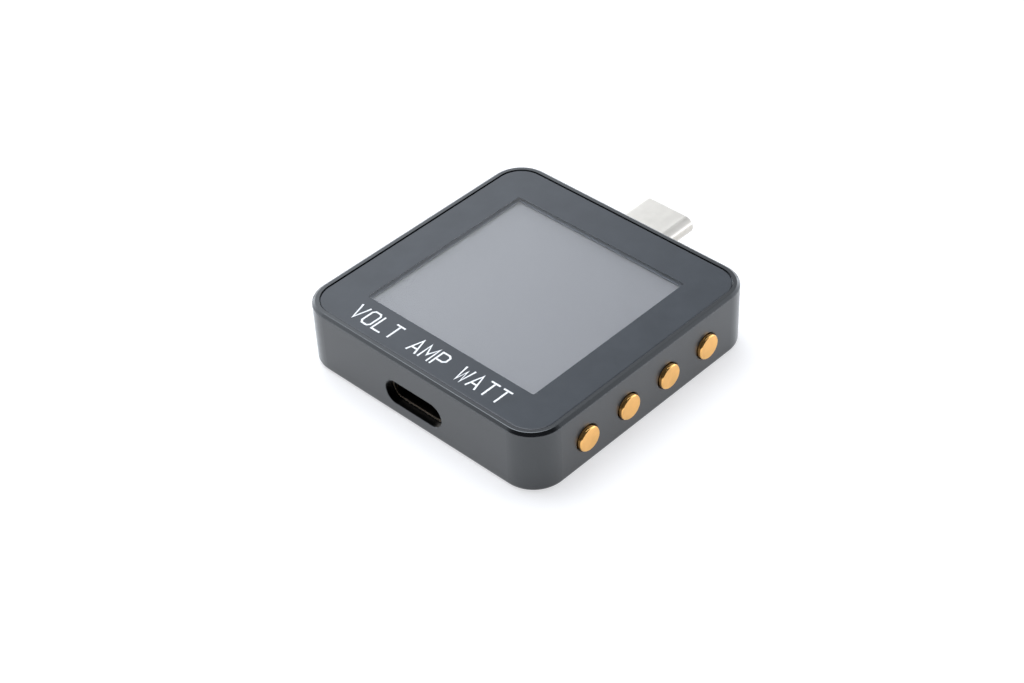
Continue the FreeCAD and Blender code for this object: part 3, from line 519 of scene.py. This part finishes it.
tape_finish = film("black_adhesive", TAPE_BLACK, 0.7, grain=4e-6)
dress("glass_tape", tape_finish)
dress("display_tape", tape_finish)
dress("display_polariser", film("grey_polariser", POLARISER_GREY, 0.35, drift=0.01))
dress("lcd_cell", film("cell_glass", (0.34, 0.37, 0.39), 0.12, drift=0.03))
dress("display_driver", film("bare_silicon", (0.08, 0.08, 0.11), 0.15))
dress("backlight_guide", film("clear_acrylic", (0.82, 0.85, 0.87), 0.2, drift=0.02))
dress("backlight_reflector", film("white_film", (0.86, 0.86, 0.86), 0.45, drift=0.02))
dress("backlight_leds", film("diode_package", (0.85, 0.8, 0.42), 0.4))
dress("display_frame", film("white_moulding", (0.8, 0.8, 0.77), 0.5, drift=0.03, grain=3e-6))


def foam():
    """Black closed-cell foam: small round cells pressed into the surface."""
    material, inside, links, shader = new_finish("closed_cell_foam", FOAM_BLACK, 0.9)
    cells = inside.new("ShaderNodeTexVoronoi")
    cells.inputs["Scale"].default_value = 3500
    links.new(object_place(inside, links), cells.inputs["Vector"])
    wall = cells.outputs["Distance"]
    tint = tint_between(inside, links, wall, (0.012, 0.012, 0.013), (0.05, 0.05, 0.052), start=0.05, end=0.6)
    links.new(tint, shader.inputs["Base Color"])
    roughen(inside, links, shader, wall, depth=3e-5, strength=0.8)
    return material


dress("display_foam", foam())
dress("insulation_sheet", film("black_polyester", (0.03, 0.03, 0.03), 0.3, grain=2e-6))


def ribbed_flex():
    """Amber polyimide with copper conductors under it, which run along the tail as darker stripes."""
    material, inside, links, shader = new_finish("amber_flex", (0.5, 0.22, 0.05), 0.35)
    lines = inside.new("ShaderNodeTexWave")
    lines.bands_direction = "Y"
    lines.inputs["Scale"].default_value = 320
    links.new(object_place(inside, links), lines.inputs["Vector"])
    stripe = lines.outputs["Fac"]
    tint = tint_between(inside, links, stripe, (0.58, 0.3, 0.07), (0.4, 0.17, 0.04), start=0.45, end=0.55)
    links.new(tint, shader.inputs["Base Color"])
    roughen(inside, links, shader, stripe, depth=8e-6)
    return material


dress("display_flex", ribbed_flex())
dress("flex_connector", film("ivory_moulding", (0.66, 0.62, 0.5), 0.45, grain=3e-6))

# ---------------------------------------------------------------- circuit board and what is soldered to it
# Glass-epoxy laminate under green solder mask. The chips hang from its underside with tinned leads; the
# shunt is a bent strip of bare alloy, the coil a pressed ferrite block, the crystal a nickel can.

MASK_GREEN = (0.012, 0.085, 0.05)
EPOXY_BLACK = (0.022, 0.022, 0.024)
TINNED = (0.62, 0.62, 0.6)
LEAD_DEPTH = 0.1 * MM
LEAD_EDGE = 0.004 * MM


def solder_mask():
    """Green mask over copper: bundles of traces stand a little proud and lighter, in patches."""
    material, inside, links, shader = new_finish("green_board", MASK_GREEN, 0.32)
    traces = inside.new("ShaderNodeTexBrick")
    traces.inputs["Scale"].default_value = 400
    traces.inputs["Mortar Size"].default_value = 0.06
    traces.inputs["Color1"].default_value = (0, 0, 0, 1)
    traces.inputs["Color2"].default_value = (0, 0, 0, 1)
    traces.inputs["Mortar"].default_value = (1, 1, 1, 1)
    links.new(object_place(inside, links), traces.inputs["Vector"])
    pour = noise_at(inside, links, 260, detail=1)
    poured = number_between(inside, links, pour, 0, 1, start=0.48, end=0.5)
    copper = mixed_number(inside, links, poured, traces.outputs["Color"], 0.7)
    tint = tint_between(inside, links, copper, MASK_GREEN, shade(MASK_GREEN, 1.9), start=0.2, end=0.9)
    links.new(tint, shader.inputs["Base Color"])
    roughen(inside, links, shader, copper, depth=2e-5)
    return material


def moulded_chip():
    """Matt black epoxy, with bright tinned leads in the thin layer next to the board."""
    material, inside, links, shader = new_finish("chip_and_leads", EPOXY_BLACK, 0.55)
    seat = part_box("main_board")[0][2]
    leads = above(inside, links, "Z", seat - LEAD_DEPTH, LEAD_EDGE)
    grain = noise_at(inside, links, 6000)
    epoxy = tint_between(inside, links, grain, shade(EPOXY_BLACK, 0.8), shade(EPOXY_BLACK, 1.3))
    links.new(mixed_colour(inside, links, leads, epoxy, TINNED), shader.inputs["Base Color"])
    links.new(leads, shader.inputs["Metallic"])
    links.new(mixed_number(inside, links, leads, 0.55, 0.3), shader.inputs["Roughness"])
    roughen(inside, links, shader, grain, 5e-6)
    return material


def ended_ceramic(name, colour, ends):
    """A small soldered block: coloured ceramic with a mottled face and a tinned sheen where it is worn."""
    material, inside, links, shader = new_finish(name, colour, 0.45)
    mottle = noise_at(inside, links, 3000, detail=3)
    tint = tint_between(inside, links, mottle, shade(colour, 0.8), ends, start=0.35, end=0.9)
    links.new(tint, shader.inputs["Base Color"])
    roughen(inside, links, shader, mottle, 4e-6)
    return material


dress("main_board", solder_mask())
chip_finish = moulded_chip()
for name in ("controller_chip", "meter_chip", "protocol_chip", "memory_chip", "regulator"):
    dress(name, chip_finish)
alloy = brushed("resistive_alloy", (0.5, 0.47, 0.43), 0.35, metallic=1.0, stretch=(1, 0.05, 1), depth=3e-6)
dress("shunt_resistor", alloy)
can = brushed("nickel_can", (0.66, 0.65, 0.6), 0.25, metallic=1.0, stretch=(1, 0.1, 1), depth=2e-6)
dress("crystal", can)
dress("inductor", ended_ceramic("pressed_ferrite", (0.06, 0.06, 0.065), (0.12, 0.12, 0.125)))
dress("capacitors", ended_ceramic("tan_ceramic", (0.42, 0.28, 0.15), (0.6, 0.5, 0.4)))
dress("resistors", ended_ceramic("black_film", (0.03, 0.03, 0.035), (0.2, 0.2, 0.2)))

# ---------------------------------------------------------------- switches
# Four side-push click switches: a black moulded body, a clipped steel cover, a bowed steel leaf and a white
# plunger that reaches out to the button. The leaf is stamped from sprung steel and is drawn in its bowed rest
# shape.

BUTTON_NUMBERS = range(1, 5)
LEAF_THICKNESS = 0.08 * MM
LEAF_EASE = 0.01 * MM
LEAF_STEPS = 33


def bowed_leaf(low, high):
    """A spring leaf between two corners: across Y it bows along X in an arc through its feet and its crown,
    x = sqrt(R^2 - y^2) - (R - rise), with R = (half^2 + rise^2) / (2 rise), and its long edges are eased."""
    half, middle = (high[1] - low[1]) / 2, (high[1] + low[1]) / 2
    rise = high[0] - low[0] - LEAF_THICKNESS
    radius = (half**2 + rise**2) / (2 * rise)
    loops = []
    for across in np.linspace(-half, half, LEAF_STEPS):
        back = low[0] + math.sqrt(radius**2 - across**2) - (radius - rise)
        front = back + LEAF_THICKNESS
        outline = [
            (back, low[2] + LEAF_EASE), (back + LEAF_EASE, low[2]), (front - LEAF_EASE, low[2]),
            (front, low[2] + LEAF_EASE), (front, high[2] - LEAF_EASE), (front - LEAF_EASE, high[2]),
            (back + LEAF_EASE, high[2]), (back, high[2] - LEAF_EASE),
        ]
        loops.append(np.array([(x, middle + across, z) for x, z in outline]))
    return loops_to_solid(loops)


dress("switch_bodies", film("black_moulding", (0.025, 0.025, 0.027), 0.5, grain=3e-6))
steel = (0.62, 0.62, 0.61)
steel_finish = brushed("sprung_steel", steel, 0.28, metallic=1.0, stretch=(0.1, 1, 1), depth=2e-6)
dress("switch_covers", steel_finish)
plunger_finish = film("white_plunger", (0.75, 0.75, 0.72), 0.45, grain=2e-6)
for number in BUTTON_NUMBERS:
    dress(f"switch_plunger_{number}", plunger_finish)
    low, high = corners_of(f"switch_dome_{number}")
    leaf = mesh_piece(f"switch_{number}_leaf", *bowed_leaf(low, high), [steel_finish])
    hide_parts(f"switch_dome_{number}")
    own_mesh(leaf)

# ---------------------------------------------------------------- buttons
# Turned aluminium caps, anodised orange gold: a satin face with a bright cut bevel, a plain skirt, and a
# flange inside the wall that keeps each one in.

GOLD = (0.87, 0.49, 0.165)
CAP_RADIUS = 1.62 * MM
CAP_BEVEL = 0.12 * MM
FLANGE_THICKNESS = 0.5 * MM
CAP_EASE = 0.025 * MM
CAP_TURNS = 72
FACE_FINISH_DEPTH = 0.01 * MM
FACE_FINISH_EDGE = 0.008 * MM
CUT_ROUGHNESS = 0.16


def turned(profile, centre_y, centre_z, turns):
    """A solid turned about a line along X: each profile point (x, radius) becomes a ring of that radius."""
    angle = np.linspace(0, 2 * math.pi, turns, endpoint=False)
    rings = [
        np.column_stack([np.full(turns, x), centre_y + r * np.cos(angle), centre_z + r * np.sin(angle)])
        for x, r in profile
    ]
    return loops_to_solid(rings)


def gold_anodised():
    """Orange gold anodising: a satin face with a faint grain, and a polished bevel and skirt."""
    material, inside, links, shader = new_finish("gold_anodised", GOLD, 0.34, 1.0)
    face_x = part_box("button_cap_1")[1][0]
    face = above(inside, links, "X", face_x - FACE_FINISH_DEPTH, FACE_FINISH_EDGE)
    fine = noise_at(inside, links, 9000)
    satin = number_between(inside, links, fine, 0.3, 0.42)
    links.new(mixed_number(inside, links, face, CUT_ROUGHNESS, satin), shader.inputs["Roughness"])
    cloud = noise_at(inside, links, 500, detail=3)
    tint = tint_between(inside, links, cloud, shade(GOLD, 0.92), shade(GOLD, 1.08))
    links.new(tint, shader.inputs["Base Color"])
    roughen(inside, links, shader, fine, 2e-6)
    return material


gold_finish = gold_anodised()
for number in BUTTON_NUMBERS:
    low, high = corners_of(f"button_cap_{number}")
    middle = (low + high) / 2
    back, face, wide = low[0], high[0], (high[1] - low[1]) / 2
    shoulder, ease = back + FLANGE_THICKNESS, CAP_EASE
    profile = [
        (back, 0.5 * wide), (back, wide - ease), (back + ease, wide), (shoulder - ease, wide),
        (shoulder, wide - ease), (shoulder, CAP_RADIUS + ease), (shoulder + ease, CAP_RADIUS),
        (face - CAP_BEVEL - 2 * ease, CAP_RADIUS), (face - CAP_BEVEL, CAP_RADIUS - 0.3 * ease),
        (face - CAP_BEVEL + ease, CAP_RADIUS - ease), (face - ease, CAP_RADIUS - CAP_BEVEL + ease),
        (face - 0.2 * ease, CAP_RADIUS - CAP_BEVEL), (face, CAP_RADIUS - CAP_BEVEL - ease),
        (face, CAP_RADIUS - CAP_BEVEL - 4 * ease),
    ]
    points, faces = turned(profile, middle[1], middle[2], CAP_TURNS)
    cap = mesh_piece(f"button_{number}_cap", points, faces, [gold_finish], f"button_{number}")
    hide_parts(f"button_cap_{number}")

# ---------------------------------------------------------------- socket
# A drawn steel shell round a black moulded tongue with gold-plated contacts. Inside, the shell is painted
# dark as shade in the socket's cavity; its cut front edge is a bright steel colour, partly the bare steel and
# partly a painted highlight.

# The cut edge's colour: partly the bare steel, partly a painted highlight.
EDGE_STEEL_AND_HIGHLIGHT = (0.72, 0.6, 0.48)
CUT_EDGE_DEPTH = 0.02 * MM
CUT_EDGE_SOFTNESS = 0.01 * MM
socket_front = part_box("socket_shell")[0][1]


def drawn_shell():
    """Steel with fine drawn lines: a bright steel colour on the cut edge in the first few hundredths behind
    the opening, partly the bare steel and partly a painted highlight, and painted dark as shade further in.
    """
    material, inside, links, shader = new_finish("socket_steel", (0.1, 0.08, 0.06), 0.35, 1.0)
    behind = above(inside, links, "Y", socket_front + CUT_EDGE_DEPTH, CUT_EDGE_SOFTNESS)
    lines = noise_at(inside, links, 2500, detail=3, stretch=(1, 0.05, 1))
    # The shell's inside is painted dark as shade in the socket's cavity; the drawn lines vary its tone.
    shell_painted_shade = tint_between(inside, links, lines, (0.05, 0.045, 0.04), (0.09, 0.08, 0.07))
    links.new(mixed_colour(inside, links, behind, EDGE_STEEL_AND_HIGHLIGHT, shell_painted_shade), shader.inputs["Base Color"])
    roughen(inside, links, shader, lines, 2e-6)
    return material


def gold_plate():
    """Thin gold plating, slightly worn in lines along the wiping direction."""
    yellow = (0.8, 0.55, 0.2)
    return brushed("gold_plating", yellow, 0.28, metallic=1.0, stretch=(1, 0.05, 1), depth=2e-6, grain=5000)


plating = gold_plate()
black_moulding = film("black_connector", (0.012, 0.012, 0.013), 0.4, grain=2e-6)
dress("socket_shell", drawn_shell())
dress("socket_insulator", black_moulding)
dress("socket_contacts", plating)

# ---------------------------------------------------------------- plug
# A deep-drawn steel shell, nickel plated and tumbled to a satin, with a rounded lip, round a black moulded
# core with gold-plated contacts and a sprung steel latch.

NICKEL = (0.585, 0.558, 0.51)


def satin_nickel():
    """Satin nickel: fine lines along the plug from drawing, and a soft mottle from tumbling."""
    material, inside, links, shader = new_finish("satin_nickel", NICKEL, 0.3, 1.0)
    lines = noise_at(inside, links, 1800, detail=3, stretch=(1, 0.06, 1))
    mottle = noise_at(inside, links, 900, detail=4)
    tint = tint_between(inside, links, mottle, shade(NICKEL, 0.96), shade(NICKEL, 1.03))
    links.new(tint, shader.inputs["Base Color"])
    links.new(number_between(inside, links, lines, 0.27, 0.33), shader.inputs["Roughness"])
    roughen(inside, links, shader, lines, 2e-7)
    return material


dress("plug_shell", satin_nickel())
dress("plug_insulator", black_moulding)
dress("plug_contacts", plating)
dress("plug_latch", steel_finish)

# ---------------------------------------------------------------- table
# A light table: a sheet of white acrylic lit from below, so that shadows on it stay pale. It lies a hair
# under the case and is clear from beneath, where the bottom cover shows through it.

TABLE_SIZE = 6
TABLE_DROP = 0.02 * MM
ACRYLIC_WHITE = (0.48, 0.48, 0.48)
LAMP_WHITE = (0.97, 0.97, 0.985, 1)
LAMP_STRENGTH = 0.63

bpy.ops.mesh.primitive_plane_add(size=TABLE_SIZE, location=(0, 0, -TABLE_DROP))
table = bpy.context.object
table.name = "light_table"
acrylic, inside, links, shader = new_finish("lit_acrylic", ACRYLIC_WHITE, 0.8)
shader.inputs["Specular IOR Level"].default_value = 0.1
shader.inputs["Emission Color"].default_value = LAMP_WHITE
shader.inputs["Emission Strength"].default_value = LAMP_STRENGTH
side, beneath, sheet = (
    inside.new("ShaderNode" + kind) for kind in ("NewGeometry", "BsdfTransparent", "MixShader")
)
links.new(side.outputs["Backfacing"], sheet.inputs[0])
links.new(shader.outputs["BSDF"], sheet.inputs[1])
links.new(beneath.outputs["BSDF"], sheet.inputs[2])
links.new(sheet.outputs["Shader"], inside["Material Output"].inputs["Surface"])
table.data.materials.append(acrylic)

# ---------------------------------------------------------------- light and camera
# Soft light from a pale room: brightest straight overhead and bright along the horizon, and dimmer on the
# camera's side. The camera looks down across the corner between the socket and the buttons.

AZIMUTH, ELEVATION, ROLL = math.radians(45.177), math.radians(40.131), math.radians(-2.769)
DISTANCE = 238.42 * MM
AIM = Vector((2.227, -4.947, 5.0)) * MM
LENS = 71.1
SENSOR_WIDTH = 36
NEAREST, FURTHEST = 0.01, 20
ROOM_TINT = (0.93, 0.97, 1.03, 1)
ROOM_RIGHT, ROOM_LEFT, ROOM_NEAR = 0.5, 1.72, 0.08
HORIZON_GLOW = 1.4
RIGHT_GLOW = 1.0
OVERHEAD = 5.2

towards_camera = Vector((
    math.sin(AZIMUTH) * math.cos(ELEVATION),
    -math.cos(AZIMUTH) * math.cos(ELEVATION),
    math.sin(ELEVATION),
))
camera_data = bpy.data.cameras.new("camera")
camera_data.lens = LENS
camera_data.sensor_width = SENSOR_WIDTH
camera_data.clip_start = NEAREST
camera_data.clip_end = FURTHEST
camera = bpy.data.objects.new("camera", camera_data)
bpy.context.scene.collection.objects.link(camera)
camera.matrix_world = (
    Matrix.Translation(AIM + towards_camera * DISTANCE)
    @ towards_camera.to_track_quat("Z", "Y").to_matrix().to_4x4()
    @ Matrix.Rotation(ROLL, 4, "Z")
)
bpy.context.scene.camera = camera

world = bpy.data.worlds.new("pale_room")
bpy.context.scene.world = world
world.use_nodes = True
inside, links = world.node_tree.nodes, world.node_tree.links
room = inside["Background"]
room.inputs["Color"].default_value = ROOM_TINT
direction = inside.new("ShaderNodeTexCoord")


def towards(vector, low, high, start, end):
    """A number that goes from low to high as the direction's share along vector goes from start to end."""
    share = inside.new("ShaderNodeVectorMath")
    share.operation = "DOT_PRODUCT"
    share.inputs[1].default_value = vector
    links.new(direction.outputs["Generated"], share.inputs[0])
    spread = inside.new("ShaderNodeMapRange")
    spread.interpolation_type = "SMOOTHSTEP"
    spread.inputs["From Min"].default_value = start
    spread.inputs["From Max"].default_value = end
    spread.inputs["To Min"].default_value = low
    spread.inputs["To Max"].default_value = high
    links.new(share.outputs["Value"], spread.inputs["Value"])
    return spread.outputs["Result"]


leftwards = Vector((-math.cos(AZIMUTH), -math.sin(AZIMUTH), 0))
upwards = Vector((0, 0, 1))
overhead = (leftwards * 0.1 - towards_camera * 0.3 + upwards * 0.9).normalized()
far_side = towards((leftwards - upwards).normalized(), ROOM_RIGHT, ROOM_LEFT, start=-0.6, end=-0.33)
horizon = towards(upwards, HORIZON_GLOW, 0, start=0.1, end=0.48)
right_side = towards(-leftwards, 0, RIGHT_GLOW, start=0.25, end=0.75)
nearness = towards(towards_camera, 0, 1, start=0.2, end=0.65)
ceiling = towards(overhead, 0, OVERHEAD, start=0.9, end=0.97)


def added(first, second):
    """The sum of two numbers."""
    total = inside.new("ShaderNodeMath")
    total.operation = "ADD"
    links.new(first, total.inputs[0])
    links.new(second, total.inputs[1])
    return total.outputs["Value"]


around = mixed_number(inside, links, nearness, added(added(far_side, right_side), horizon), ROOM_NEAR)
links.new(added(around, ceiling), room.inputs["Strength"])

bpy.context.scene.view_settings.view_transform = "Standard"
